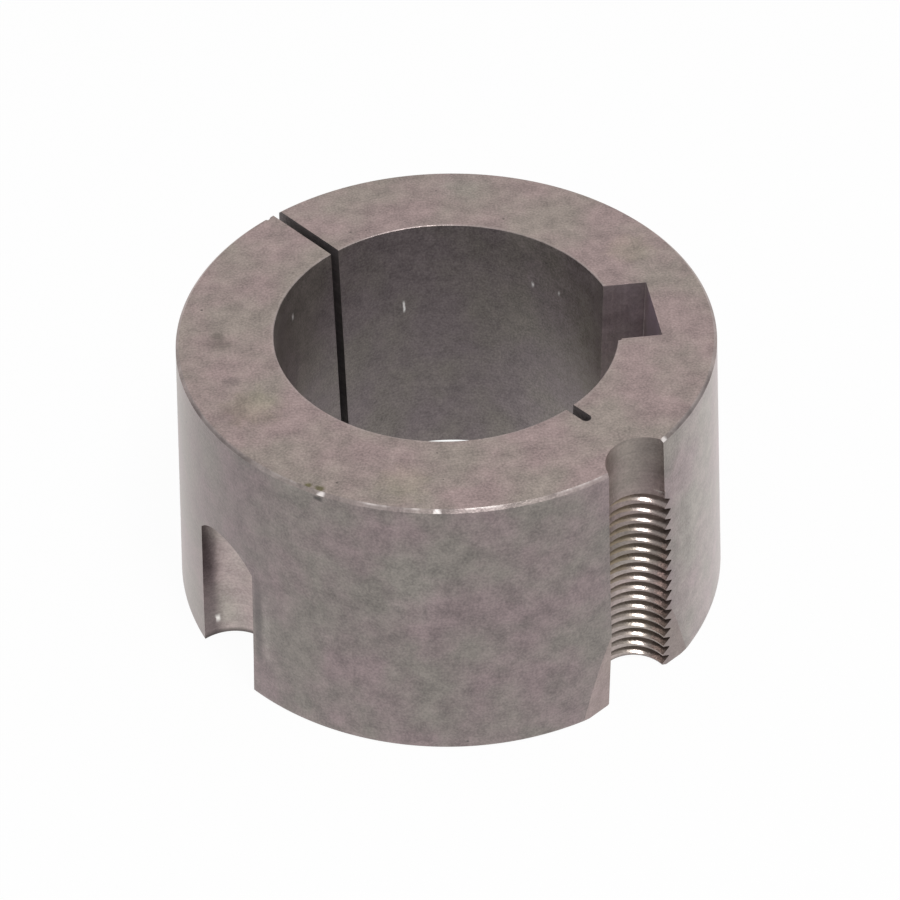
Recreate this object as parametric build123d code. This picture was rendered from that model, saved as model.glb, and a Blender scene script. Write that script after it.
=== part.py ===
from build123d import *
import math
import os

# Taper bush: a slit, tapered sleeve that is drawn into a tapered hub to grip a shaft.
# It is machined from one casting, so it is one solid. All sizes are in millimetres.
# The origin is on the bore's axis at the large end, +Z runs to the small end, and the
# keyway is centred on +X. Angles are in degrees from the keyway, anticlockwise seen
# from the small end.

# Bore and keyway
bore_diameter = 50.8
bore_chamfer = 0.1
key_width = 12.7
keyway_side_depth = 6.5  # from the bore's wall down the keyway's side to its floor

# Tapered body, 85.7 across its large end
bush_length = 44.45
large_end_wall = 17.45  # from the bore to the side, at the large end
side_angle = 4.0  # the slope of the side, so the included taper is twice this
small_end_chamfer = 0.45
large_end_chamfer = 0.3

# Saw cuts: the slit goes through the wall, the relief cut opposite it goes part way
slit_angle = 125.2
relief_cut_from_slit = 181.1
saw_cut_width = 1.5
relief_cut_depth = 4.0

# Half-holes round the bush, cut open by the tapered side
removal_hole_inset = 1.575  # from the large end's edge in to the tapped hole's centre
screw_hole_inset = 1.0  # the same for the two plain holes
removal_hole_from_slit = 179.5
screw_hole_from_removal_hole = 94.5

# The two plain half-holes are blind, for the screws that draw the bush in
screw_hole_diameter = 13.5
screw_hole_wall_depth = 23.1  # from the large end to the edge of the rounded end
screw_hole_end_rise = 3.1  # the height of the rounded end above that edge
screw_hole_countersink = 0.2

# The third half-hole is tapped, for the screw that pushes the bush out.
# This is its drilled size, right through.
tapping_drill_diameter = 11.25
tapped_hole_countersink = 0.2
tapped_hole_flat_depth = 1.4  # of the flat beside the hole, at the large end's edge

cut_overrun = 2.0  # how far each cutter runs past the face where it breaks out

# What follows from them
bore_radius = bore_diameter / 2
large_end_radius = bore_radius + large_end_wall
side_slope = math.tan(math.radians(side_angle))
small_end_radius = large_end_radius - bush_length * side_slope
removal_hole_distance = large_end_radius - removal_hole_inset
screw_hole_distance = large_end_radius - screw_hole_inset
relief_cut_angle = slit_angle + relief_cut_from_slit
removal_hole_angle = slit_angle + removal_hole_from_slit
screw_hole_angles = [
    removal_hole_angle - screw_hole_from_removal_hole,
    removal_hole_angle + screw_hole_from_removal_hole,
]


def side_radius(height):
    """Radius of the tapered side at a height above the large end."""
    return large_end_radius - height * side_slope


def tapered_sleeve():
    """The turned and bored body, with its edges broken at both ends."""
    outline = [
        (bore_radius, bore_chamfer),
        (bore_radius + bore_chamfer, 0),
        (large_end_radius - large_end_chamfer, 0),
        (side_radius(large_end_chamfer), large_end_chamfer),
        (side_radius(bush_length - small_end_chamfer), bush_length - small_end_chamfer),
        (small_end_radius - small_end_chamfer, bush_length),
        (bore_radius + bore_chamfer, bush_length),
        (bore_radius, bush_length - bore_chamfer),
    ]
    section = Plane.XZ * make_face(Polyline(*outline, close=True))
    return revolve(section, Axis.Z)


def radial_cutter(angle, start_radius, end_radius, width):
    """A block of full length that points outwards from the axis at an angle."""
    block = Box(
        end_radius - start_radius,
        width,
        bush_length + 2 * cut_overrun,
        align=(Align.MIN, Align.CENTER, Align.MIN),
    )
    return Rot(0, 0, angle) * Pos(start_radius, 0, -cut_overrun) * block


def keyway():
    """The keyway, from well inside the bore to its flat floor."""
    wall_at_side = math.sqrt(bore_radius**2 - (key_width / 2) ** 2)
    floor = wall_at_side + keyway_side_depth
    return radial_cutter(0, wall_at_side - cut_overrun, floor, key_width)


def slit():
    """The saw cut right through the wall on one side."""
    return radial_cutter(
        slit_angle, bore_radius - cut_overrun, large_end_radius + cut_overrun, saw_cut_width
    )


def relief_cut():
    """The saw cut part way into the wall opposite the slit, round at its end."""
    end_round = saw_cut_width / 2
    end_centre = bore_radius + relief_cut_depth - end_round
    block = radial_cutter(
        relief_cut_angle, bore_radius - cut_overrun, end_centre, saw_cut_width
    )
    end = Cylinder(
        end_round, bush_length + 2 * cut_overrun, align=(Align.CENTER, Align.CENTER, Align.MIN)
    )
    return block + Rot(0, 0, relief_cut_angle) * Pos(end_centre, 0, -cut_overrun) * end


def countersink(hole_radius, depth):
    """A 90 degree cone that breaks the edge of a hole at the large end."""
    return Cone(
        hole_radius + depth + cut_overrun,
        hole_radius,
        depth + cut_overrun,
        align=(Align.CENTER, Align.CENTER, Align.MIN),
    )


def set_out(cutter, distance, angle):
    """Moves a cutter, made on the origin, out from the axis at an angle."""
    return Rot(0, 0, angle) * Pos(distance, 0, 0) * cutter


def screw_hole():
    """A blind hole from the large end, with the rounded end that the screw seats on."""
    radius = screw_hole_diameter / 2
    top = screw_hole_wall_depth + screw_hole_end_rise
    end_radius = (radius**2 + screw_hole_end_rise**2) / (2 * screw_hole_end_rise)
    outline = Polyline(
        (0, top), (0, -cut_overrun), (radius, -cut_overrun), (radius, screw_hole_wall_depth)
    )
    end = RadiusArc((radius, screw_hole_wall_depth), (0, top), -end_radius)
    bore = revolve(Plane.XZ * make_face([outline, end]), Axis.Z)
    return bore + Pos(0, 0, -cut_overrun) * countersink(radius, screw_hole_countersink)


def removal_hole():
    """The drilled hole that is tapped from the large end."""
    radius = tapping_drill_diameter / 2
    bore = Cylinder(
        radius, bush_length + 2 * cut_overrun, align=(Align.CENTER, Align.CENTER, Align.MIN)
    )
    mouth = countersink(radius, tapped_hole_countersink)
    return Pos(0, 0, -cut_overrun) * (bore + mouth)


def removal_hole_flat():
    """The flat, square to the large end, that trims the side each way from the hole."""
    distance = large_end_radius - tapped_hole_flat_depth
    return radial_cutter(
        removal_hole_angle, distance, large_end_radius + cut_overrun, 2 * large_end_radius
    )


bush = tapered_sleeve()
bush -= keyway()
bush -= slit()
bush -= relief_cut()
for hole_angle in screw_hole_angles:
    bush -= set_out(screw_hole(), screw_hole_distance, hole_angle)
bush -= set_out(removal_hole(), removal_hole_distance, removal_hole_angle)
bush -= removal_hole_flat()

os.makedirs("parts", exist_ok=True)
export_step(bush, "parts/taper_bush.step")
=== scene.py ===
import math

import bmesh
import bpy
from mathutils import Matrix, Vector


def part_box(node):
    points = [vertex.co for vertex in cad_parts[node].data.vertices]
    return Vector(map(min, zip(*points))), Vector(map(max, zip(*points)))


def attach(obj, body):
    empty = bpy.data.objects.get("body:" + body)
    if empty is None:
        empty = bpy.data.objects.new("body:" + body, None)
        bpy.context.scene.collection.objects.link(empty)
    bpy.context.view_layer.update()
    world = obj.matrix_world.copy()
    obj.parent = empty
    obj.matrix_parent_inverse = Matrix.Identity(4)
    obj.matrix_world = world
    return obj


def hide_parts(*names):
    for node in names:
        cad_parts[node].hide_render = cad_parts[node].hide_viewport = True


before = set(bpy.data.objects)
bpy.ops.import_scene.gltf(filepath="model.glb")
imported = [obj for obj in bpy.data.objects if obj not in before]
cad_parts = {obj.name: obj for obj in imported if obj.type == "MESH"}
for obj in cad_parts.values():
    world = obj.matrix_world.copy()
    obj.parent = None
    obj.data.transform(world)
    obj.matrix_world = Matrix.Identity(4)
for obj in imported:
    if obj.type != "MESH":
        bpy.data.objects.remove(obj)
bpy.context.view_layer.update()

bushLow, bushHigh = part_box("taper_bush")
bushLength = bushHigh.z - bushLow.z
mm = 0.001  # the sizes below are given in millimetres
print("frame loaded, bush length", round(bushLength / mm, 2), "mm")

# angles are in degrees from the keyway, anticlockwise seen from the small end
sleeve = {
    "boreRadius": 25.4 * mm,
    "wallAtLargeEnd": 17.45 * mm,
    "sideAngle": 4.0,
    "smallEndChamfer": 0.45 * mm,
    "largeEndChamfer": 0.3 * mm,
    "boreChamfer": 0.1 * mm,
    "columnStep": 1.25,  # widest column of the wall, in degrees
    "columnGap": 1.15,  # a column's edge keeps this far from a cut's edge
}
largeEndRadius = sleeve["boreRadius"] + sleeve["wallAtLargeEnd"]
sideSlope = math.tan(math.radians(sleeve["sideAngle"]))
smallEndRadius = largeEndRadius - bushLength * sideSlope

keySlot = {
    "width": 12.7 * mm,
    "floor": 31.094 * mm,  # its distance from the axis
    "floorCornerRound": 0.1 * mm,
    "cornerSteps": 4,
    "cutterStart": 20.32 * mm,  # in the open bore
}

sawCuts = {
    "slitAngle": 125.2,
    "reliefAngle": 306.3,
    "width": 1.5 * mm,
    "reliefDepth": 4.0 * mm,
    "reliefRoundSteps": 12,
}

screwHoles = {
    "distance": largeEndRadius - 1.0 * mm,  # of each hole's middle from the axis
    "angles": (210.2, 39.2),
    "radius": 6.75 * mm,
    "wallDepth": 23.1 * mm,
    "endRise": 3.1 * mm,
    "countersink": 0.2 * mm,
    "steps": 96,
    "endRings": 12,
}

tappedHole = {
    "distance": largeEndRadius - 1.575 * mm,
    "angle": 304.7,
    "drillRadius": 5.625 * mm,
    "threadRadius": 6.27 * mm,
    "threadDrift": 0.72 * mm,  # the tap ran this far off the drilled hole, towards the keyway
    "tapCoreRadius": 4.85 * mm,  # the tap between its teeth, clear of the drilled wall
    "pitch": 25.4 / 13 * mm,
    "rootFlat": 0.2 * mm,  # width of the flat at the bottom of the groove
    "flankAngle": 30.0,
    "grooveHeight": 1.93 * mm,  # middle of a groove above the large end, at the next angle
    "grooveAngle": 98.7,
    "fullThreadTop": 32.6 * mm,  # above this the tap's lead makes the grooves shallower
    "leadTop": 35.2 * mm,
    "countersink": 0.2 * mm,
    "flatDepth": 1.4 * mm,
    "steps": 96,
}

# small damage, each a bite out of an edge of the small end
knocks = {
    "slitLip": {"angle": 127.6, "radius": 39.7 * mm, "below": 0.0, "size": 0.85 * mm},
    "rimNickLeft": {"angle": 234.5, "radius": 39.9 * mm, "below": 0.1 * mm, "size": 0.42 * mm},
    "rimNickRight": {"angle": 237.4, "radius": 39.8 * mm, "below": 0.0, "size": 0.36 * mm},
    "grooveCorner": {"angle": 312.6, "radius": 39.9 * mm, "below": 0.0, "size": 0.4 * mm},
    "keyCorner": {"angle": 345.6, "radius": 25.5 * mm, "below": 0.0, "size": 0.4 * mm},
}

edgeBreak = {
    "width": 0.16 * mm,
    "segments": 2,
    "sharperThan": 24.0,  # degrees between two faces for their edge to be broken
    "weld": 0.002 * mm,
    "flatWithin": 0.05,  # faces closer than this many degrees become one
}

overrun = 2.0 * mm  # how far a cutter runs past the face where it breaks out


def newMaterial(name):
    material = bpy.data.materials.new(name)
    material.use_nodes = True
    material.node_tree.nodes.clear()
    return material


# one material for each way the iron was worked; their nodes are made further down
turnedSide = newMaterial("turnedSide")
facedEnd = newMaterial("facedEnd")
boredWall = newMaterial("boredWall")
milledCut = newMaterial("milledCut")
drilledWall = newMaterial("drilledWall")
sawnCut = newMaterial("sawnCut")
tappedThread = newMaterial("tappedThread")
brokenEdge = newMaterial("brokenEdge")
finishes = (turnedSide, facedEnd, boredWall, milledCut, drilledWall, sawnCut, tappedThread, brokenEdge)


def radiusAtHeight(height):
    return largeEndRadius - height * sideSlope


def onCircle(radius, angle, height=0.0):
    turn = math.radians(angle)
    return Vector((radius * math.cos(turn), radius * math.sin(turn), height))


def newObject(name, data):
    made = bpy.data.objects.new(name, data)
    bpy.context.scene.collection.objects.link(made)
    return made


def meshObject(name, points, faces, faceFinishes):  # one finish, or one for each face
    mesh = bpy.data.meshes.new(name)
    mesh.from_pydata([tuple(point) for point in points], [], faces)
    for finish in finishes:
        mesh.materials.append(finish)
    if isinstance(faceFinishes, bpy.types.Material):
        faceFinishes = [faceFinishes] * len(faces)
    for polygon, finish in zip(mesh.polygons, faceFinishes):
        polygon.material_index = finishes.index(finish)
    form = bmesh.new()
    form.from_mesh(mesh)
    bmesh.ops.recalc_face_normals(form, faces=form.faces)
    form.to_mesh(mesh)
    form.free()
    return newObject(name, mesh)


def outerEdgeAngle(distance, holeRadius, height):
    # where a half-hole breaks out of the side, each way from its middle
    side = radiusAtHeight(height)
    share = (distance**2 + side**2 - holeRadius**2) / (2 * distance * side)
    return math.degrees(math.acos(share))


def cutEdgeSpans():
    # the angles that hold the long edges of the cuts, with room on each side
    gap = sleeve["columnGap"]
    keyEdge = math.degrees(math.asin(keySlot["width"] / 2 / sleeve["boreRadius"]))
    sawEdge = math.degrees(math.asin(sawCuts["width"] / 2 / sleeve["boreRadius"]))
    spans = [(edge - gap, edge + gap) for edge in (keyEdge, -keyEdge)]
    for middle in (sawCuts["slitAngle"], sawCuts["reliefAngle"]):
        spans += [(edge - gap, edge + gap) for edge in (middle - sawEdge, middle + sawEdge)]
    holes = [(angle, screwHoles, screwHoles["radius"], 0.0, screwHoles["wallDepth"])
             for angle in screwHoles["angles"]]
    low, high = tappedHole["leadTop"], bushLength
    holes.append((tappedHole["angle"], tappedHole, tappedHole["drillRadius"], low, high))
    for middle, hole, radius, low, high in holes:
        ends = sorted(outerEdgeAngle(hole["distance"], radius, height) for height in (low, high))
        spans.append((middle + ends[0] - gap / 2, middle + ends[1] + gap / 2))
        spans.append((middle - ends[1] - gap / 2, middle - ends[0] + gap / 2))
    return spans


def columnAngles():
    # near-equal columns round the wall, with each cut's long edge inside one column
    clear = []
    for low, high in sorted((low % 360, high % 360) for low, high in cutEdgeSpans()):
        if clear and low <= clear[-1][1]:
            clear[-1][1] = max(clear[-1][1], high)
        else:
            clear.append([low, high])
    angles = []
    for index, (low, high) in enumerate(clear):
        room = (clear[(index + 1) % len(clear)][0] - high) % 360
        columns = max(1, math.ceil(room / sleeve["columnStep"]))
        angles += [low] + [high + room * column / columns for column in range(columns)]
    return angles


def turnedSleeve():
    bore, boreChamfer = sleeve["boreRadius"], sleeve["boreChamfer"]
    large, small = sleeve["largeEndChamfer"], sleeve["smallEndChamfer"]
    outline = [  # radius, height, and the finish of the stretch that starts there
        (bore, boreChamfer, brokenEdge),
        (bore + boreChamfer, 0.0, facedEnd),
        (largeEndRadius - large, 0.0, brokenEdge),
        (radiusAtHeight(large), large, turnedSide),
        (radiusAtHeight(bushLength - small), bushLength - small, brokenEdge),
        (smallEndRadius - small, bushLength, facedEnd),
        (bore + boreChamfer, bushLength, brokenEdge),
        (bore, bushLength - boreChamfer, boredWall),
    ]
    angles, count = columnAngles(), len(outline)
    points = [onCircle(radius, angle, height) for angle in angles for radius, height, _ in outline]
    faces, faceFinishes = [], []
    for column in range(len(angles)):
        here, there = column * count, (column + 1) % len(angles) * count
        for row, (_, _, finish) in enumerate(outline):
            above = (row + 1) % count
            faces.append((here + row, here + above, there + above, there + row))
            faceFinishes.append(finish)
    print("turned sleeve:", len(angles), "columns")
    return meshObject("taperBush", points, faces, faceFinishes)


def prism(name, plan, angle, finish):
    # a cutter of the bush's full length, from an outline whose x runs outwards
    turn = Matrix.Rotation(math.radians(angle), 4, "Z")
    levels = (-overrun, bushLength + overrun)
    points = [turn @ Vector((x, y, height)) for height in levels for x, y in plan]
    count = len(plan)
    faces = [tuple(range(count)), tuple(reversed(range(count, 2 * count)))]
    for index in range(count):
        following = (index + 1) % count
        faces.append((index, index + count, following + count, following))
    return meshObject(name, points, faces, finish)


def spun(name, outline, steps, centre, finish):
    # a cutter turned about an upright axis, from an outline that starts and ends on it
    rings = outline[1:-1]
    points = [centre + Vector((0, 0, outline[0][1])), centre + Vector((0, 0, outline[-1][1]))]
    for radius, height in rings:
        points += [centre + onCircle(radius, 360 * step / steps, height) for step in range(steps)]
    faces, top = [], 2 + (len(rings) - 1) * steps
    for step in range(steps):
        following = (step + 1) % steps
        faces.append((0, 2 + following, 2 + step))
        faces.append((1, top + step, top + following))
        for ring in range(len(rings) - 1):
            low, high = 2 + ring * steps, 2 + (ring + 1) * steps
            faces.append((low + step, low + following, high + following, high + step))
    return meshObject(name, points, faces, finish)


def keySlotCutter():
    half, floor, corner = keySlot["width"] / 2, keySlot["floor"], keySlot["floorCornerRound"]
    inside = keySlot["cutterStart"]
    plan = [(inside, -half)]
    for start, y in ((-90, corner - half), (0, half - corner)):
        for step in range(keySlot["cornerSteps"] + 1):
            place = onCircle(corner, start + step * 90 / keySlot["cornerSteps"])
            plan.append((floor - corner + place.x, y + place.y))
    plan.append((inside, half))
    return prism("keySlotCutter", plan, 0.0, milledCut)


def slitCutter():
    half, inside = sawCuts["width"] / 2, sleeve["boreRadius"] - overrun
    outside = largeEndRadius + overrun
    plan = [(inside, -half), (outside, -half), (outside, half), (inside, half)]
    return prism("slitCutter", plan, sawCuts["slitAngle"], sawnCut)


def reliefCutter():
    half, inside = sawCuts["width"] / 2, sleeve["boreRadius"] - overrun
    endMiddle = sleeve["boreRadius"] + sawCuts["reliefDepth"] - half
    plan = [(inside, -half)]
    for step in range(sawCuts["reliefRoundSteps"] + 1):
        place = onCircle(half, -90 + step * 180 / sawCuts["reliefRoundSteps"])
        plan.append((endMiddle + place.x, place.y))
    plan.append((inside, half))
    return prism("reliefCutter", plan, sawCuts["reliefAngle"], sawnCut)


def screwHoleCutter(angle):
    radius, depth, rise = (screwHoles[key] for key in ("radius", "wallDepth", "endRise"))
    sink = screwHoles["countersink"]
    ball = (radius**2 + rise**2) / (2 * rise)  # radius of the rounded end
    reach = math.asin(radius / ball)
    outline = [(0.0, -overrun), (radius + sink + overrun, -overrun), (radius, sink)]
    for ring in range(screwHoles["endRings"]):
        tilt = reach * (1 - ring / screwHoles["endRings"])
        outline.append((ball * math.sin(tilt), depth + rise - ball * (1 - math.cos(tilt))))
    outline.append((0.0, depth + rise))
    centre = onCircle(screwHoles["distance"], angle)
    return spun("screwHoleCutter", outline, screwHoles["steps"], centre, drilledWall)


def drillCutter():
    # the hole that is tapped, right through, and its countersink
    radius, sink = tappedHole["drillRadius"], tappedHole["countersink"]
    outline = [(0.0, -overrun), (radius + sink + overrun, -overrun), (radius, sink)]
    outline += [(radius, bushLength + overrun), (0.0, bushLength + overrun)]
    centre = onCircle(tappedHole["distance"], tappedHole["angle"])
    return spun("drillCutter", outline, tappedHole["steps"], centre, drilledWall)


def flatCutter():
    distance, outside = largeEndRadius - tappedHole["flatDepth"], largeEndRadius + overrun
    half = largeEndRadius / 2
    plan = [(distance, -half), (outside, -half), (outside, half), (distance, half)]
    return prism("flatCutter", plan, tappedHole["angle"], milledCut)


def tapTooth():
    # one pitch of the tap: height from the middle of a tooth, and height of the tooth there
    tall = tappedHole["threadRadius"] - tappedHole["tapCoreRadius"]
    tip = tappedHole["rootFlat"] / 2
    foot = tip + tall * math.tan(math.radians(tappedHole["flankAngle"]))
    return [(-foot, 0.0), (-tip, tall), (tip, tall), (foot, 0.0)]


def tapCutter():
    # a screw-shaped cutter, a little off the drilled hole's middle, with its teeth lower at the lead
    pitch, steps, tooth = tappedHole["pitch"], tappedHole["steps"], tapTooth()
    count, tall = len(tooth), tappedHole["threadRadius"] - tappedHole["tapCoreRadius"]
    leadLength = tappedHole["leadTop"] - tappedHole["fullThreadTop"]
    turns = math.ceil((tappedHole["leadTop"] + overrun) / pitch) + 4
    sideways = onCircle(tappedHole["threadDrift"], tappedHole["angle"] + 90)
    centre = onCircle(tappedHole["distance"], tappedHole["angle"]) + sideways
    start = tappedHole["grooveHeight"] - pitch * (math.ceil(overrun / pitch) + 2)
    start -= pitch * tappedHole["grooveAngle"] / 360
    points = []
    for column in range(turns * steps + 1):
        for offset, rise in tooth:
            height = start + pitch * column / steps + offset
            lead = (tappedHole["leadTop"] - height) / leadLength
            radius = tappedHole["tapCoreRadius"] + min(rise, tall * min(1.0, max(0.0, lead)))
            points.append(centre + onCircle(radius, 360 * column / steps, height))

    def pointAt(column, row):  # past a tooth's last row comes the next turn's first
        return (column + steps) * count if row == count else column * count + row

    faces = []
    lastColumn = (turns - 1) * steps
    for column in range(lastColumn):
        for row in range(count):
            corners = [(column, row), (column + 1, row), (column + 1, row + 1), (column, row + 1)]
            faces.append(tuple(pointAt(*corner) for corner in corners))
    for first in (0, lastColumn):  # close both ends
        rim = [pointAt(first + column, 0) for column in range(steps)]
        rim += [pointAt(first, row) for row in range(count, 0, -1)]
        middle = sum(points[index].z for index in rim) / len(rim)
        points.append(centre + Vector((0, 0, middle)))
        for index in range(len(rim)):
            faces.append((len(points) - 1, rim[index], rim[(index + 1) % len(rim)]))
    return meshObject("tapCutter", points, faces, tappedThread)


def knockCutter(knock):
    ball = bmesh.new()
    bmesh.ops.create_icosphere(ball, subdivisions=2, radius=knock["size"])
    middle = onCircle(knock["radius"], knock["angle"], bushLength - knock["below"])
    points = [vert.co + middle for vert in ball.verts]
    faces = [tuple(vert.index for vert in face.verts) for face in ball.faces]
    ball.free()
    return meshObject("knockCutter", points, faces, brokenEdge)


def cutAway(body, cutters):
    tools = bpy.data.collections.new("cutters")
    for cutter in cutters:
        bpy.context.scene.collection.objects.unlink(cutter)
        tools.objects.link(cutter)
    cut = body.modifiers.new("cut", "BOOLEAN")
    cut.operation = "DIFFERENCE"
    cut.operand_type = "COLLECTION"
    cut.collection = tools
    cut.solver = "EXACT"
    bpy.context.view_layer.update()
    evaluated = body.evaluated_get(bpy.context.evaluated_depsgraph_get())
    result = bpy.data.meshes.new_from_object(evaluated)
    body.modifiers.clear()
    body.data = result
    for cutter in cutters:
        bpy.data.objects.remove(cutter)
    bpy.data.collections.remove(tools)


def breakEdges(mesh):
    # merges what is flat, then takes a fine bevel off every outer sharp edge but the thread's own
    form = bmesh.new()
    form.from_mesh(mesh)
    bmesh.ops.remove_doubles(form, verts=form.verts, dist=edgeBreak["weld"])
    flat = math.radians(edgeBreak["flatWithin"])
    bmesh.ops.dissolve_limit(
        form, angle_limit=flat, verts=form.verts, edges=form.edges, delimit={"MATERIAL"}
    )
    thread = finishes.index(tappedThread)
    sharp = []
    for edge in form.edges:
        if len(edge.link_faces) == 2 and thread not in [face.material_index for face in edge.link_faces]:
            if edge.is_convex and edge.calc_face_angle() > math.radians(edgeBreak["sharperThan"]):
                sharp.append(edge)
    bmesh.ops.bevel(
        form,
        geom=sharp,
        offset=edgeBreak["width"],
        offset_type="OFFSET",
        segments=edgeBreak["segments"],
        profile=0.5,
        affect="EDGES",
        clamp_overlap=True,
        material=finishes.index(brokenEdge),
    )
    print("edges broken:", len(sharp), "of", len(form.edges))
    form.to_mesh(mesh)
    form.free()


bush = turnedSleeve()
cutters = [keySlotCutter(), slitCutter(), reliefCutter(), drillCutter(), tapCutter(), flatCutter()]
cutters += [screwHoleCutter(angle) for angle in screwHoles["angles"]]
cutters += [knockCutter(knock) for knock in knocks.values()]
cutAway(bush, cutters)
print("cut bush:", len(bush.data.polygons), "faces")
breakEdges(bush.data)
print("bush with broken edges:", len(bush.data.polygons), "faces")


shading = {
    "edgeLimit": 60.0,  # degrees up to which neighbouring faces shade as one
    "threadLimit": 38.0,
    "plainLimit": 20.0,
    "onSurface": 0.02 * mm,  # a corner this near to the cone or the bore belongs to it
    "facing": 0.99,  # if it also faces that way, by this cosine
}


def shadeByForm(mesh):
    # exact normals on the cone and the bore, and rounded ones across the broken edges
    edgeIndex, onSurface = finishes.index(brokenEdge), shading["onSurface"]
    limits = {edgeIndex: shading["edgeLimit"], finishes.index(tappedThread): shading["threadLimit"]}
    lean = math.radians(sleeve["sideAngle"])
    flatNormals = [polygon.normal.copy() for polygon in mesh.polygons]
    around = [[] for _ in mesh.vertices]
    for polygon in mesh.polygons:
        for vertex in polygon.vertices:
            around[vertex].append(polygon.index)
    normals = [None] * len(mesh.loops)
    for polygon in mesh.polygons:
        own, finish = flatNormals[polygon.index], polygon.material_index
        least = math.cos(math.radians(limits.get(finish, shading["plainLimit"])))
        for loop in polygon.loop_indices:
            place = mesh.vertices[mesh.loops[loop].vertex_index].co
            near = [index for index in around[mesh.loops[loop].vertex_index]
                    if flatNormals[index].dot(own) > least]
            main = [index for index in near if mesh.polygons[index].material_index != edgeIndex]
            total = Vector()
            for index in main or near:
                total += flatNormals[index] * mesh.polygons[index].area
            normal = total.normalized() if total.length > 0 else own
            outward = Vector((place.x, place.y, 0)).normalized()
            distance = math.hypot(place.x, place.y)
            cone = (outward * math.cos(lean) + Vector((0, 0, math.sin(lean)))).normalized()
            onCone = abs(distance - radiusAtHeight(place.z)) < onSurface
            onBore = abs(distance - sleeve["boreRadius"]) < onSurface
            if onCone and normal.dot(cone) > shading["facing"]:
                normal = cone
            elif onBore and normal.dot(-outward) > shading["facing"]:
                normal = -outward
            normals[loop] = normal
    mesh.shade_smooth()
    mesh.normals_split_custom_set(normals)


shadeByForm(bush.data)
print("bush shaded")


def addNode(tree, kind, values=None, **settings):
    # values are numbers, colours or other nodes' sockets, by the input's name or number
    made = tree.nodes.new("ShaderNode" + kind)
    for name, value in settings.items():
        setattr(made, name, value)
    for name, value in (values or {}).items():
        if isinstance(value, bpy.types.NodeSocket):
            tree.links.new(value, made.inputs[name])
        else:
            made.inputs[name].default_value = value
    return made


def startGroup(name, inputs, outputs):
    group = bpy.data.node_groups.new(name, "ShaderNodeTree")
    for socket, kind, value in inputs:
        made = group.interface.new_socket(socket, in_out="INPUT", socket_type="NodeSocket" + kind)
        made.default_value = value
    for socket, kind in outputs:
        group.interface.new_socket(socket, in_out="OUTPUT", socket_type="NodeSocket" + kind)
    return group, group.nodes.new("NodeGroupInput").outputs, group.nodes.new("NodeGroupOutput").inputs


def calculate(tree, operation, *values):
    return addNode(tree, "Math", dict(enumerate(values)), operation=operation).outputs[0]


def vectorMath(tree, operation, *values):
    return addNode(tree, "VectorMath", dict(enumerate(values)), operation=operation).outputs["Vector"]


def rescale(tree, value, low, high, newLow, newHigh, kind="LINEAR"):
    values = {"Value": value, "From Min": low, "From Max": high, "To Min": newLow, "To Max": newHigh}
    return addNode(tree, "MapRange", values, interpolation_type=kind).outputs[0]


def mixColour(tree, share, first, second, blend="MIX"):
    values = {0: share, 6: first, 7: second}
    return addNode(tree, "Mix", values, data_type="RGBA", blend_type=blend).outputs[2]


def grey(tree, shade):
    return addNode(tree, "CombineColor", {0: shade, 1: shade, 2: shade}).outputs[0]


def objectPlace(tree):
    return addNode(tree, "TexCoord").outputs["Object"]


def separate(tree, place):
    return addNode(tree, "SeparateXYZ", {0: place}).outputs


def noiseFactor(tree, place, scale, detail=3.0):
    return addNode(tree, "TexNoise", {"Vector": place, "Scale": scale, "Detail": detail}).outputs["Fac"]


def lengthOf(tree, vector):
    return addNode(tree, "VectorMath", {0: vector}, operation="LENGTH").outputs["Value"]


def awayFromAxis(tree, place):
    return lengthOf(tree, vectorMath(tree, "MULTIPLY", place, (1, 1, 0)))


noiseScales = {  # of the noise in each effect, per metre
    "patch": 105.0,
    "cloud": 400.0,
    "grain": 2900.0,
    "raggedMark": 600.0,
    "raggedRimWearAndHighlight": 450.0,
    "paintedHighlight": 300.0,
}
lineWaver = 2.5  # how quickly a tool line changes on its way round


def makeIronGrain():
    # the iron's own look: broad patches, clouds of 2 to 3 mm and a fine grain
    group, given, out = startGroup(
        "ironGrain",
        [("Tone", "Color", (0.2, 0.2, 0.2, 1)), ("Patch", "Color", (0.2, 0.2, 0.2, 1)),
         ("Clouds", "Float", 0.1), ("Grain", "Float", 0.1)],
        [("Color", "Color"), ("Cloud", "Float"), ("Height", "Float")],
    )
    place = objectPlace(group)
    patch = rescale(group, noiseFactor(group, place, noiseScales["patch"]), 0.38, 0.62, 0.0, 1.0)
    cloud = rescale(group, noiseFactor(group, place, noiseScales["cloud"], 4.0), 0.3, 0.7, -1.0, 1.0)
    grain = rescale(group, noiseFactor(group, place, noiseScales["grain"], 2.0), 0.3, 0.7, -1.0, 1.0)
    shade = calculate(group, "MULTIPLY_ADD", cloud, given["Clouds"], 1.0)
    shade = calculate(group, "MULTIPLY_ADD", grain, given["Grain"], shade)
    tone = mixColour(group, patch, given["Tone"], given["Patch"])
    group.links.new(mixColour(group, 1.0, tone, grey(group, shade), "MULTIPLY"), out["Color"])
    group.links.new(cloud, out["Cloud"])
    group.links.new(calculate(group, "MULTIPLY_ADD", cloud, 0.6, grain), out["Height"])
    return group


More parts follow.
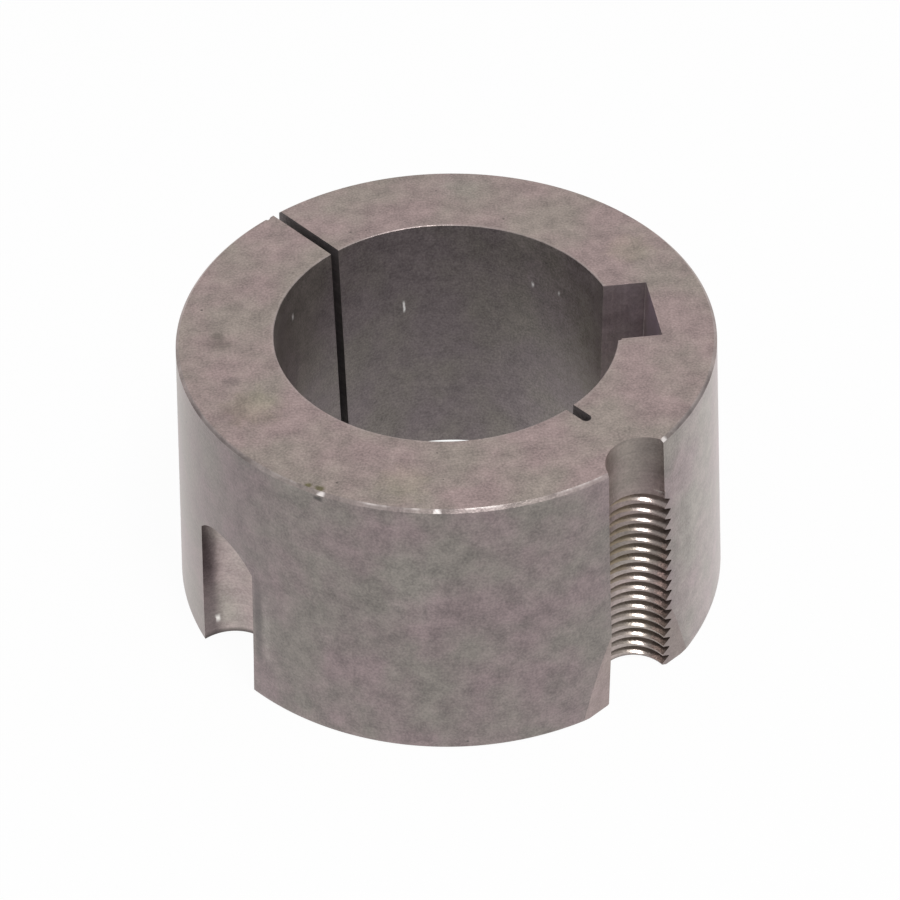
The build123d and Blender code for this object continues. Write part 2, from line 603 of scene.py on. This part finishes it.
def makeToolLines():
    # the fine lines that a tool leaves: Up and Out choose which way they step
    group, given, out = startGroup(
        "toolLines",
        [("Up", "Float", 0.0), ("Out", "Float", 0.0), ("Lines Per Metre", "Float", 3000.0)],
        [("Shade", "Float")],
    )
    place = objectPlace(group)
    around = vectorMath(group, "NORMALIZE", vectorMath(group, "MULTIPLY", place, (1, 1, 0)))
    turned = separate(group, around)
    step = calculate(group, "MULTIPLY", separate(group, place)[2], given["Up"])
    step = calculate(group, "MULTIPLY_ADD", awayFromAxis(group, place), given["Out"], step)
    lines = {0: calculate(group, "MULTIPLY", step, given["Lines Per Metre"])}
    for side in (0, 1):
        lines[side + 1] = calculate(group, "MULTIPLY", turned[side], lineWaver)
    noise = noiseFactor(group, addNode(group, "CombineXYZ", lines).outputs[0], 1.0, 2.0)
    group.links.new(rescale(group, noise, 0.3, 0.7, -1.0, 1.0), out["Shade"])
    return group


def makeSoftMark():
    # a soft, ragged mark: an upright column of a size at a centre, between two heights
    group, given, out = startGroup(
        "softMark",
        [("Centre", "Vector", (0, 0, 0)), ("Size", "Float", 0.002), ("Low", "Float", 0.0),
         ("High", "Float", 0.05), ("Fade", "Float", 0.001), ("Ragged", "Float", 0.001),
         ("Strength", "Float", 1.0)],
        [("Mask", "Float")],
    )
    place = objectPlace(group)
    noise = {"Vector": place, "Scale": noiseScales["raggedMark"], "Detail": 3.0}
    noise = addNode(group, "TexNoise", noise).outputs["Color"]
    noise = vectorMath(group, "SUBTRACT", noise, (0.5, 0.5, 0.5))
    shift = {0: noise, "Scale": given["Ragged"]}
    shift = addNode(group, "VectorMath", shift, operation="SCALE").outputs["Vector"]
    moved = vectorMath(group, "ADD", place, shift)
    away = awayFromAxis(group, vectorMath(group, "SUBTRACT", moved, given["Centre"]))
    away = calculate(group, "DIVIDE", away, given["Size"])
    mask = rescale(group, away, 1.0, 0.3, 0.0, 1.0, "SMOOTHSTEP")
    height = separate(group, moved)[2]
    above = calculate(group, "SUBTRACT", height, given["Low"])
    below = calculate(group, "SUBTRACT", given["High"], height)
    for gap in (above, below):
        inside = rescale(group, calculate(group, "DIVIDE", gap, given["Fade"]), 0.0, 1.0, 0.0, 1.0)
        mask = calculate(group, "MULTIPLY", mask, inside)
    group.links.new(calculate(group, "MULTIPLY", mask, given["Strength"]), out["Mask"])
    return group


def makeRimWearAndHighlight():
    # wear and a painted highlight along a turned edge, which is a ring of a radius at a height
    group, given, out = startGroup(
        "rimWearAndHighlight",
        [("Radius", "Float", 0.04), ("Height", "Float", 0.04), ("Width", "Float", 0.0005),
         ("Strength", "Float", 1.0)],
        [("Mask", "Float")],
    )
    place = objectPlace(group)
    outward = calculate(group, "SUBTRACT", awayFromAxis(group, place), given["Radius"])
    up = calculate(group, "SUBTRACT", separate(group, place)[2], given["Height"])
    away = lengthOf(group, addNode(group, "CombineXYZ", {0: outward, 1: up}).outputs[0])
    noise = noiseFactor(group, place, noiseScales["raggedRimWearAndHighlight"], 4.0)
    ragged = rescale(group, noise, 0.35, 0.65, 0.15, 1.3)
    width = calculate(group, "MULTIPLY", given["Width"], ragged)
    near = rescale(group, calculate(group, "DIVIDE", away, width), 1.0, 0.4, 0.0, 1.0)
    group.links.new(calculate(group, "MULTIPLY", near, given["Strength"]), out["Mask"])
    return group


def makeSector():
    # a soft part of the way round the bush: an angle and how far it reaches each way
    group, given, out = startGroup(
        "sector",
        [("Angle", "Float", 0.0), ("Reach", "Float", 10.0), ("Soft", "Float", 4.0)],
        [("Mask", "Float")],
    )
    place = separate(group, objectPlace(group))
    turn = calculate(group, "DEGREES", calculate(group, "ARCTAN2", place[1], place[0]))
    off = calculate(group, "WRAP", calculate(group, "SUBTRACT", turn, given["Angle"]), 180.0, -180.0)
    inside = calculate(group, "SUBTRACT", given["Reach"], calculate(group, "ABSOLUTE", off))
    share = calculate(group, "DIVIDE", inside, given["Soft"])
    group.links.new(rescale(group, share, 0.0, 1.0, 0.0, 1.0), out["Mask"])
    return group


def makeSpecks():
    # scattered small specks of dust or pits: Share is the part of the cells that hold one
    group, given, out = startGroup(
        "specks",
        [("Cells Per Metre", "Float", 500.0), ("Size", "Float", 0.2), ("Share", "Float", 0.2)],
        [("Mask", "Float")],
    )
    values = {"Vector": objectPlace(group), "Scale": given["Cells Per Metre"]}
    cell = addNode(group, "TexVoronoi", values).outputs
    chance = addNode(group, "SeparateColor", {0: cell["Color"]}).outputs
    chosen = calculate(group, "LESS_THAN", chance[0], given["Share"])
    size = calculate(group, "MULTIPLY", given["Size"], rescale(group, chance[1], 0.0, 1.0, 0.4, 1.0))
    near = rescale(group, calculate(group, "DIVIDE", cell["Distance"], size), 1.0, 0.5, 0.0, 1.0)
    group.links.new(calculate(group, "MULTIPLY", near, chosen), out["Mask"])
    return group


ironGrain, toolLines, softMark = makeIronGrain(), makeToolLines(), makeSoftMark()
rimWearAndHighlight, sector, specks = makeRimWearAndHighlight(), makeSector(), makeSpecks()
print("node groups made")


def groupOutputs(tree, group, **values):
    # an input is named here in camelCase, such as linesPerMetre for Lines Per Metre
    made = addNode(tree, "Group", node_tree=group)
    for name, value in values.items():
        spaced = "".join(" " + letter if letter.isupper() else letter for letter in name)
        made.inputs[spaced.title()].default_value = value
    return made.outputs


def addMarks(tree, colour, marks):
    # a mark has a colour of its own, or a tint that keeps the grain under it
    for mark in marks:
        values = {key: value for key, value in mark.items() if key not in ("colour", "tint")}
        mask = groupOutputs(tree, softMark, **values)["Mask"]
        if "tint" in mark:
            colour = mixColour(tree, mask, colour, mark["tint"], "MULTIPLY")
        else:
            colour = mixColour(tree, mask, colour, mark["colour"])
    return colour


iron = {"glossTint": (1.0, 0.90, 0.87, 1), "bumpDistance": 0.03 * mm}


def workedIron(material, look, marks=()):
    # what every finish shares; returns the parts that a finish goes on to change
    tree = material.node_tree
    film = {"Metallic": look["metallic"], "Specular Tint": iron["glossTint"],
            "Coat Weight": look["oil"], "Coat Roughness": look["oilRoughness"]}
    shader = addNode(tree, "BsdfPrincipled", film)
    addNode(tree, "OutputMaterial", {"Surface": shader.outputs["BSDF"]})
    mottle = {name: look[name] for name in ("tone", "patch", "clouds", "grain")}
    grain = groupOutputs(tree, ironGrain, **mottle)
    lines = groupOutputs(tree, toolLines, **look["lines"])["Shade"]
    shade = calculate(tree, "MULTIPLY_ADD", lines, look["lineShade"], 1.0)
    colour = mixColour(tree, 1.0, grain["Color"], grey(tree, shade), "MULTIPLY")
    colour = addMarks(tree, colour, marks)
    roughness = rescale(tree, grain["Cloud"], -1.0, 1.0, *look["roughness"])
    height = calculate(tree, "MULTIPLY_ADD", lines, look["lineHeight"], grain["Height"])
    bump = {"Strength": look["bump"], "Distance": iron["bumpDistance"], "Height": height}
    bump = addNode(tree, "Bump", bump)
    tree.links.new(bump.outputs["Normal"], shader.inputs["Normal"])
    return tree, shader, colour, roughness


def finishShader(tree, shader, colour, roughness):
    tree.links.new(colour, shader.inputs["Base Color"])
    tree.links.new(roughness, shader.inputs["Roughness"])


def addSpecks(tree, colour, look):
    mask = groupOutputs(tree, specks, **look["specks"])["Mask"]
    return mixColour(tree, mask, colour, look["speckColour"])


def addRimWearAndHighlight(tree, colour, look, rims):
    # each rim is the radius and the height of a turned edge
    for radius, height in rims:
        wornAndHighlight = groupOutputs(tree, rimWearAndHighlight, radius=radius, height=height, **look["rimWearAndHighlight"])["Mask"]
        colour = mixColour(tree, wornAndHighlight, colour, look["wornRimAndHighlight"])
    return colour


# the turned side, mottled mauve and grey-green under a thin film of oil
sideLook = {
    "tone": (0.220, 0.168, 0.170, 1),
    "patch": (0.198, 0.176, 0.158, 1),
    "clouds": 0.24,
    "grain": 0.21,
    "lines": {"up": 1.0, "linesPerMetre": 3200.0},
    "lineShade": 0.05,
    "lineHeight": 0.5,
    "roughness": (0.38, 0.46),
    "metallic": 0.9,
    "oil": 0.9,
    "oilRoughness": 0.36,
    "bump": 0.3,
    # lighter rims: worn metal and a painted highlight
    "wornRimAndHighlight": (0.34, 0.29, 0.28, 1),
    "rimWearAndHighlight": {"width": 0.7 * mm, "strength": 0.3},
    "speckColour": (0.06, 0.053, 0.053, 1),
    "specks": {"cellsPerMetre": 330.0, "size": 0.10, "share": 0.12},  # small pits
}
sideMarks = (
    {"centre": (-34.5 * mm, -19.5 * mm, 0), "size": 15 * mm, "low": 12 * mm, "high": 52 * mm,
     "fade": 9 * mm, "ragged": 9 * mm, "strength": 0.5, "tint": (0.64, 0.62, 0.65, 1)},
    # painted highlight: the side made lighter towards its right
    {"centre": (38.5 * mm, -17.0 * mm, 0), "size": 19 * mm, "low": -9 * mm, "high": 54 * mm,
     "fade": 9 * mm, "ragged": 9 * mm, "strength": 0.8, "tint": (1.6, 1.7, 1.72, 1)},
    {"centre": (-31.4 * mm, -27.3 * mm, 0), "size": 1.2 * mm, "low": 1 * mm, "high": 24 * mm,
     "fade": 4 * mm, "ragged": 0.8 * mm, "strength": 0.6, "tint": (0.30, 0.30, 0.31, 1)},
    {"centre": (-30.3 * mm, -28.7 * mm, 0), "size": 0.9 * mm, "low": 3 * mm, "high": 23 * mm,
     "fade": 6 * mm, "ragged": 1.1 * mm, "strength": 0.4, "tint": (1.5, 1.55, 1.55, 1)},
    {"centre": (-21.8 * mm, -33.3 * mm, 0), "size": 0.9 * mm, "low": 42.9 * mm, "high": 44.0 * mm,
     "fade": 0.4 * mm, "ragged": 0.9 * mm, "strength": 0.9, "colour": (0.04, 0.034, 0.032, 1)},
    {"centre": (-9.5 * mm, -39.9 * mm, 0), "size": 5.5 * mm, "low": 23 * mm, "high": 39 * mm,
     "fade": 5 * mm, "ragged": 5.0 * mm, "strength": 0.35, "tint": (1.38, 1.44, 1.42, 1)},
    {"centre": (-34.2 * mm, -23.0 * mm, 0), "size": 3.0 * mm, "low": 21.5 * mm, "high": 26.0 * mm,
     "fade": 1.5 * mm, "ragged": 2.4 * mm, "strength": 0.6, "tint": (1.9, 2.0, 2.0, 1)},
)


def turnedSideLook():
    tree, shader, colour, roughness = workedIron(turnedSide, sideLook, sideMarks)
    colour = addSpecks(tree, colour, sideLook)
    rims = ((smallEndRadius, bushLength), (largeEndRadius, 0.0))
    finishShader(tree, shader, addRimWearAndHighlight(tree, colour, sideLook, rims), roughness)


# the two faced ends, a little lighter than the side
endLook = {
    "tone": (0.302, 0.230, 0.222, 1),
    "patch": (0.278, 0.236, 0.210, 1),
    "clouds": 0.19,
    "grain": 0.20,
    "lines": {"out": 1.0, "linesPerMetre": 2600.0},
    "lineShade": 0.04,
    "lineHeight": 0.4,
    "roughness": (0.40, 0.50),
    "metallic": 0.88,
    "oil": 0.3,
    "oilRoughness": 0.42,
    "bump": 0.3,
    # lighter rims: worn metal and a painted highlight
    "wornRimAndHighlight": (0.42, 0.36, 0.34, 1),
    "rimWearAndHighlight": {"width": 0.6 * mm, "strength": 0.3},
    "speckColour": (0.12, 0.10, 0.09, 1),
    "specks": {"cellsPerMetre": 420.0, "size": 0.12, "share": 0.15},  # small pits
}
endMarks = tuple(
    {"centre": (x * mm, y * mm, 0), "size": size * mm, "low": 40 * mm, "high": 50 * mm,
     "fade": 1 * mm, "ragged": 0.9 * size * mm, "strength": strength, "tint": tint}
    for x, y, size, strength, tint in (
        (-32.97, 0.6, 2.4, 0.50, (0.42, 0.45, 0.41, 1)),
        (-33.6, 2.6, 1.2, 0.45, (0.42, 0.45, 0.41, 1)),
        (-32.1, -8.0, 1.9, 0.45, (0.42, 0.43, 0.45, 1)),
        (-32.3, -15.6, 3.2, 0.40, (0.48, 0.47, 0.48, 1)),
        (-31.0, -12.6, 1.6, 0.30, (0.48, 0.47, 0.48, 1)),
        (-29.5, -14.0, 5.5, 0.50, (1.0, 1.08, 0.88, 1)),
        (7.0, 36.0, 6.0, 0.45, (1.0, 1.1, 1.08, 1)),
        (-10.0, -33.0, 5.0, 0.45, (1.02, 1.08, 0.92, 1)),
        (30.0, 15.0, 5.0, 0.45, (1.05, 1.1, 0.95, 1)),
        (-23.0, -31.6, 0.85, 0.85, (0.40, 0.42, 0.17, 1)),
        (-21.4, -32.4, 0.85, 0.85, (0.34, 0.36, 0.15, 1)),
    )
)


def facedEndLook():
    tree, shader, colour, roughness = workedIron(facedEnd, endLook, endMarks)
    colour = addSpecks(tree, colour, endLook)
    rims = ((smallEndRadius, bushLength), (sleeve["boreRadius"], bushLength), (largeEndRadius, 0.0))
    finishShader(tree, shader, addRimWearAndHighlight(tree, colour, endLook, rims), roughness)


# the bored wall, darker, with dust on its oil
boreLook = {
    "tone": (0.165, 0.138, 0.142, 1),
    "patch": (0.172, 0.152, 0.140, 1),
    "clouds": 0.20,
    "grain": 0.26,
    "lines": {"up": 1.0, "linesPerMetre": 4200.0},
    "lineShade": 0.06,
    "lineHeight": 0.6,
    "roughness": (0.40, 0.50),
    "metallic": 0.68,
    "oil": 0.3,
    "oilRoughness": 0.4,
    "bump": 0.25,
    "speckColour": (0.55, 0.52, 0.50, 1),
    "specks": {"cellsPerMetre": 260.0, "size": 0.055, "share": 0.10},  # dust
}
boreMarks = (  # painted light on the wall towards the keyway, then come grains of dust
    {"centre": (24 * mm, 8 * mm, 0), "size": 24 * mm, "low": -9 * mm, "high": 60 * mm,
     "fade": 2 * mm, "ragged": 6.0 * mm, "strength": 0.8, "tint": (1.55, 1.6, 1.55, 1)},
) + tuple(
    {"centre": (x * mm, y * mm, 0), "size": size * mm, "low": low * mm, "high": high * mm,
     "fade": 0.6 * mm, "ragged": 0.5 * mm, "strength": 0.85, "colour": (0.95, 0.93, 0.92, 1)}
    for x, y, size, low, high in (
        (-21.96, 12.76, 0.40, 38.3, 39.7), (-3.90, 25.10, 0.27, 28.0, 30.6),
        (16.00, 19.73, 0.34, 34.9, 36.2), (19.54, 16.22, 0.28, 35.5, 36.6),
    )
)


def boredWallLook():
    tree, shader, colour, roughness = workedIron(boredWall, boreLook, boreMarks)
    finishShader(tree, shader, addSpecks(tree, colour, boreLook), roughness)


# the broached keyway and the milled flat
milledLook = {
    "tone": (0.480, 0.405, 0.415, 1),
    "patch": (0.460, 0.410, 0.390, 1),
    "clouds": 0.12,
    "grain": 0.12,
    "lines": {"out": 1.0, "linesPerMetre": 2500.0},
    "lineShade": 0.06,
    "lineHeight": 0.6,
    "roughness": (0.42, 0.52),
    "metallic": 0.88,
    "oil": 0.2,
    "oilRoughness": 0.45,
    "bump": 0.3,
}
milledMarks = (  # the keyway's floor is stained, and the flat is darker, but less on its left
    {"centre": (32.0 * mm, 0, 0), "size": 9 * mm, "low": -9 * mm, "high": 60 * mm,
     "fade": 2 * mm, "ragged": 1.5 * mm, "strength": 0.7, "tint": (0.66, 0.62, 0.80, 1)},
    {"centre": (23.5 * mm, -33.9 * mm, 0), "size": 30 * mm, "low": -9 * mm, "high": 60 * mm,
     "fade": 2 * mm, "ragged": 1.5 * mm, "strength": 0.95, "tint": (0.56, 0.54, 0.53, 1)},
    {"centre": (17.0 * mm, -38.4 * mm, 0), "size": 8 * mm, "low": -9 * mm, "high": 60 * mm,
     "fade": 2 * mm, "ragged": 3.0 * mm, "strength": 0.6, "tint": (1.5, 1.45, 1.42, 1)},
)


def milledCutLook():
    finishShader(*workedIron(milledCut, milledLook, milledMarks))


# the drilled half-holes: brighter metal, darker on some walls, with painted shade along their mouths at the
# large end
drilledLook = {
    "tone": (0.44, 0.362, 0.350, 1),
    "patch": (0.41, 0.368, 0.335, 1),
    # painted shade along the foot of each wall, by the floor
    "mouthPaintedShade": (0.06, 0.052, 0.050, 1),
    "mouthPaintedShadeShare": 0.75,
    "mouthPaintedShadeFrom": 1.2 * mm,  # it starts at this height above the large end
    "mouthPaintedShadeFull": 0.5 * mm,  # and is full below this one
    "clouds": 0.14,
    "grain": 0.14,
    "lines": {"up": 1.0, "linesPerMetre": 2200.0},
    "lineShade": 0.06,
    "lineHeight": 0.6,
    "roughness": (0.38, 0.46),
    "metallic": 0.88,
    "oil": 0.2,
    "oilRoughness": 0.4,
    "bump": 0.3,
}
drilledMarks = (
    {"centre": (-39.2 * mm, -15.0 * mm, 0), "size": 3.0 * mm, "low": -3 * mm, "high": 26 * mm,
     "fade": 2 * mm, "ragged": 1.2 * mm, "strength": 0.85, "tint": (0.32, 0.29, 0.32, 1)},
    {"centre": (-39.2 * mm, -15.0 * mm, 0), "size": 3.6 * mm, "low": 10 * mm, "high": 26 * mm,
     "fade": 5 * mm, "ragged": 1.2 * mm, "strength": 0.7, "tint": (0.25, 0.22, 0.25, 1)},
    # a painted glint on the plain hole's wall
    {"centre": (-37.6 * mm, -14.5 * mm, 0), "size": 0.42 * mm, "low": 2.4 * mm, "high": 4.6 * mm,
     "fade": 1.0 * mm, "ragged": 0.9 * mm, "strength": 0.9, "colour": (1.0, 0.97, 0.93, 1)},
    {"centre": (-34.4 * mm, -16.2 * mm, 0), "size": 2.6 * mm, "low": 13 * mm, "high": 20 * mm,
     "fade": 3 * mm, "ragged": 2.0 * mm, "strength": 0.5, "tint": (1.15, 1.28, 1.2, 1)},
    {"centre": (23.5 * mm, -33.9 * mm, 0), "size": 16 * mm, "low": 20 * mm, "high": 60 * mm,
     "fade": 2 * mm, "ragged": 1.0 * mm, "strength": 0.95, "tint": (0.64, 0.62, 0.61, 1)},
    {"centre": (25.6 * mm, -29.6 * mm, 0), "size": 4.0 * mm, "low": 30 * mm, "high": 60 * mm,
     "fade": 8 * mm, "ragged": 1.0 * mm, "strength": 0.6, "tint": (0.42, 0.40, 0.42, 1)},
)


def drilledWallLook():
    tree, shader, colour, roughness = workedIron(drilledWall, drilledLook, drilledMarks)
    height = separate(tree, objectPlace(tree))[2]
    start, full = drilledLook["mouthPaintedShadeFrom"], drilledLook["mouthPaintedShadeFull"]
    # painted shade along the foot of the wall
    atMouth = rescale(tree, height, start, full, 0.0, drilledLook["mouthPaintedShadeShare"])
    finishShader(tree, shader, mixColour(tree, atMouth, colour, drilledLook["mouthPaintedShade"]), roughness)


# the sawn faces, dark with dried oil
sawnLook = {
    "tone": (0.170, 0.150, 0.150, 1),
    "patch": (0.140, 0.126, 0.128, 1),
    "clouds": 0.15,
    "grain": 0.12,
    "lines": {"up": 1.0, "linesPerMetre": 1800.0},
    "lineShade": 0.12,
    "lineHeight": 0.9,
    "roughness": (0.50, 0.62),
    "metallic": 0.5,
    "oil": 0.0,
    "oilRoughness": 0.5,
    "bump": 0.35,
}


def sawnCutLook():
    finishShader(*workedIron(sawnCut, sawnLook))


# the tapped thread: clean flanks that glint, brown oil on one side, dark on the other
threadLook = {
    "tone": (0.290, 0.245, 0.228, 1),
    "patch": (0.265, 0.232, 0.200, 1),
    "clouds": 0.12,
    "grain": 0.10,
    "lines": {"out": 1.0, "linesPerMetre": 5000.0},
    "lineShade": 0.03,
    "lineHeight": 0.4,
    "roughness": (0.15, 0.20),
    "metallic": 0.78,
    "dullMetallic": 0.25,
    "dullRoughness": 0.3,  # added to the roughness on the dull side
    "oil": 0.2,
    "oilRoughness": 0.2,
    "bump": 0.10,
    "dullSide": {"centre": (18.9 * mm, -30.6 * mm, 0), "size": 6.6 * mm, "low": -9 * mm, "high": 60 * mm,
                 "fade": 2 * mm, "ragged": 1.0 * mm, "strength": 1.0},
}
threadMarks = (
    {"centre": (28.6 * mm, -30.9 * mm, 0), "size": 5.0 * mm, "low": -3 * mm, "high": 40 * mm,
     "fade": 2 * mm, "ragged": 0.8 * mm, "strength": 0.65, "tint": (0.52, 0.50, 0.52, 1)},
    {"centre": (20.7 * mm, -28.9 * mm, 0), "size": 3.4 * mm, "low": 12 * mm, "high": 42 * mm,
     "fade": 8 * mm, "ragged": 1.6 * mm, "strength": 0.6, "tint": (1.10, 1.0, 0.72, 1)},
)


def tappedThreadLook():
    tree, shader, colour, roughness = workedIron(tappedThread, threadLook, threadMarks)
    dull = groupOutputs(tree, softMark, **threadLook["dullSide"])["Mask"]
    metallic = rescale(tree, dull, 0.0, 1.0, threadLook["metallic"], threadLook["dullMetallic"])
    tree.links.new(metallic, shader.inputs["Metallic"])
    roughness = calculate(tree, "MULTIPLY_ADD", dull, threadLook["dullRoughness"], roughness)
    finishShader(tree, shader, colour, roughness)


# chamfers and broken edges: a painted highlight along the front, painted shade as dark reflections on two
# flanks and along the large end, and painted glints
edgeLook = {
    "tone": (0.280, 0.228, 0.222, 1),
    "patch": (0.240, 0.204, 0.190, 1),
    "clouds": 0.20,
    "grain": 0.15,
    "lines": {"up": 0.7, "out": 0.7, "linesPerMetre": 3000.0},
    "lineShade": 0.05,
    "lineHeight": 0.5,
    "roughness": (0.30, 0.40),
    "metallic": 0.95,
    "oil": 0.3,
    "oilRoughness": 0.35,
    "bump": 0.25,
    # painted highlight along the top of the outer chamfer, strongest at the front
    "paintedHighlight": (0.62, 0.56, 0.54, 1),
    "paintedHighlightSector": {"angle": 263.0, "reach": 38.0, "soft": 6.0},  # the side where the painted highlight is strongest
    "paintedHighlightFrontShare": 0.85,  # of the painted highlight is the front's alone
    "topLine": (0.22 * mm, 0.08 * mm),  # below the small end, where the painted highlight line starts and is full
    # painted shade: dark reflections on the outer chamfer at two flanks, and a dark line along the large
    # end
    "dirt": (0.035, 0.030, 0.032, 1),
    "paintedShadeSectors": (
        {"angle": 207.0, "reach": 15.0, "soft": 6.0},
        {"angle": 326.0, "reach": 14.0, "soft": 6.0},
    ),
    "outerRim": (36 * mm, 38 * mm),  # distances from the axis between which the outer rim starts
    "chamferFoot": (43.92 * mm, 44.05 * mm),  # heights between which its chamfer starts
    "paintedShadeTop": (44.18 * mm, 44.36 * mm),  # heights between which the painted shade thins out
    "paintedShadeShares": (0.55, 0.10),  # below and above that
    "largeEndPaintedShade": (0.5 * mm, 0.2 * mm),
    "largeEndPaintedShadeShare": 0.7,
}
paintedEdgeGlints = tuple(  # painted glints on the edges, three of them on knocks
    {"centre": (x * mm, y * mm, 0), "size": size * mm, "low": 42 * mm, "high": 50 * mm,
     "fade": 1 * mm, "ragged": 0.9 * mm, "strength": 0.8, "colour": (0.90, 0.84, 0.82, 1)}
    for x, y, size in (
        (27.0, -29.0, 0.7), (24.7, -6.35, 0.7), (-6.1, -39.2, 0.7), (-21.4, -33.4, 0.7),
    )
)


def brokenEdgeLook():
    tree, shader, colour, roughness = workedIron(brokenEdge, edgeLook, paintedEdgeGlints)
    place = objectPlace(tree)
    height = separate(tree, place)[2]
    outerRim = rescale(tree, awayFromAxis(tree, place), *edgeLook["outerRim"], 0.0, 1.0)
    aboveFoot = rescale(tree, height, *edgeLook["chamferFoot"], 0.0, 1.0)
    outerRim = calculate(tree, "MULTIPLY", outerRim, aboveFoot)
    # painted shade on the outer chamfer at two flanks and along the large end
    dirt = [groupOutputs(tree, sector, **values)["Mask"] for values in edgeLook["paintedShadeSectors"]]
    dirt = calculate(tree, "MULTIPLY", calculate(tree, "MAXIMUM", *dirt), outerRim)
    thinner = rescale(tree, height, *edgeLook["paintedShadeTop"], *edgeLook["paintedShadeShares"])
    dirt = calculate(tree, "MULTIPLY", dirt, thinner)
    largeEnd = rescale(tree, height, *edgeLook["largeEndPaintedShade"], 0.0, edgeLook["largeEndPaintedShadeShare"])
    colour = mixColour(tree, calculate(tree, "MAXIMUM", dirt, largeEnd), colour, edgeLook["dirt"])
    # painted highlight along the top of the outer chamfer
    lineLow, lineHigh = (bushLength - below for below in edgeLook["topLine"])
    topLine = rescale(tree, height, lineLow, lineHigh, 0.0, 1.0)
    front = groupOutputs(tree, sector, **edgeLook["paintedHighlightSector"])["Mask"]
    front = calculate(tree, "MULTIPLY", calculate(tree, "MULTIPLY", front, topLine), outerRim)
    noise = noiseFactor(tree, place, noiseScales["paintedHighlight"], 4.0)
    blotches = rescale(tree, noise, 0.40, 0.64, 0.0, 1.0, "SMOOTHSTEP")
    atFront = edgeLook["paintedHighlightFrontShare"]
    share = calculate(tree, "MULTIPLY_ADD", front, atFront, 1.0 - atFront)
    paintedHighlight = calculate(tree, "MULTIPLY", blotches, share)
    finishShader(tree, shader, mixColour(tree, paintedHighlight, colour, edgeLook["paintedHighlight"]), roughness)


turnedSideLook()
facedEndLook()
boredWallLook()
milledCutLook()
drilledWallLook()
sawnCutLook()
tappedThreadLook()
brokenEdgeLook()
print("looks made for", len(finishes), "finishes")

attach(bush, "root")
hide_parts("taper_bush")

# the camera stands where the photograph was taken from
view = {
    "distance": 364.9 * mm,  # from the middle of the bush's axis
    "azimuth": -6.3,  # turn of the whole view about the bush's axis
    "elevation": 41.29,
    "pitch": 41.518,  # of the camera itself, down from level
    "yaw": 0.038,
    "roll": -1.27,
    "lens": 95.12,
    "sensor": 36.0,
}


def placeCamera():
    camera = newObject("camera", bpy.data.cameras.new("camera"))
    camera.data.lens, camera.data.sensor_width = view["lens"], view["sensor"]
    camera.data.clip_start, camera.data.clip_end = 0.01, 10.0
    turn = Matrix.Rotation(math.radians(view["azimuth"]), 4, "Z")
    lift = math.radians(view["elevation"])
    back = Vector((0, -math.cos(lift), math.sin(lift))) * view["distance"]
    place = turn @ (back + Vector((0, 0, bushLength / 2)))
    pitch, yaw, roll = (math.radians(view[key]) for key in ("pitch", "yaw", "roll"))
    ahead = Vector((math.sin(yaw) * math.cos(pitch), math.cos(yaw) * math.cos(pitch), -math.sin(pitch)))
    right = ahead.cross(Vector((0, 0, 1))).normalized()
    up = right.cross(ahead)
    tiltedRight = right * math.cos(roll) + up * math.sin(roll)
    tiltedUp = up * math.cos(roll) - right * math.sin(roll)
    axes = Matrix((tiltedRight, tiltedUp, -ahead)).transposed().to_4x4()
    camera.matrix_world = Matrix.Translation(place) @ turn @ axes
    bpy.context.scene.camera = camera


def areaLamp(name, place, target, size, power):
    data = bpy.data.lights.new(name, "AREA")
    data.shape, data.size, data.energy = "DISK", size, power
    lamp = newObject(name, data)
    lamp.location = place
    lamp.rotation_euler = (Vector(target) - Vector(place)).to_track_quat("-Z", "Y").to_euler()


studio = {
    "worldFill": 0.55,  # light from all round
    "lampPlace": (0.102, -0.208, 0.590),
    "lampSize": 0.16,
    "lampPower": 1.5,
    "floorHalf": 2.0,
    "floorWhite": 0.96,  # the part of the floor that shows plain white, the rest shows shadows
}


def seenWhite(tree, fill, camera):
    # fill for the light itself, white where the background is seen or mirrored
    rays = addNode(tree, "LightPath").outputs
    seen = calculate(tree, "MULTIPLY", rays["Is Camera Ray"], camera)
    seen = calculate(tree, "MAXIMUM", seen, rays["Is Glossy Ray"])
    seen = calculate(tree, "MAXIMUM", seen, rays["Is Transmission Ray"])
    return rescale(tree, seen, 0.0, 1.0, fill, 1.0)


def makeWorld():
    world = bpy.data.worlds.new("studio")
    bpy.context.scene.world = world
    world.use_nodes = True
    tree = world.node_tree
    background = tree.nodes["Background"]
    background.inputs["Color"].default_value = (1, 1, 1, 1)
    tree.links.new(seenWhite(tree, studio["worldFill"], 1.0), background.inputs["Strength"])


def makeFloor():
    material = newMaterial("paleFloor")
    tree = material.node_tree
    paper = addNode(tree, "BsdfPrincipled", {"Base Color": (0.9, 0.9, 0.9, 1), "Roughness": 0.9}).outputs[0]
    white = addNode(tree, "Emission", {"Color": (1, 1, 1, 1), "Strength": 1.0}).outputs[0]
    share = seenWhite(tree, 0.0, studio["floorWhite"])
    mix = addNode(tree, "MixShader", {0: share, 1: paper, 2: white})
    addNode(tree, "OutputMaterial", {"Surface": mix.outputs[0]})
    half = studio["floorHalf"]
    mesh = bpy.data.meshes.new("floor")
    corners = [(-half, -half, 0), (half, -half, 0), (half, half, 0), (-half, half, 0)]
    mesh.from_pydata(corners, [], [(0, 1, 2, 3)])
    mesh.materials.append(material)
    floor = newObject("floor", mesh)


placeCamera()
areaLamp("overhead", studio["lampPlace"], (0, 0, 0), studio["lampSize"], studio["lampPower"])
makeWorld()
makeFloor()
print("studio made")

bpy.context.scene.view_settings.view_transform = "Standard"
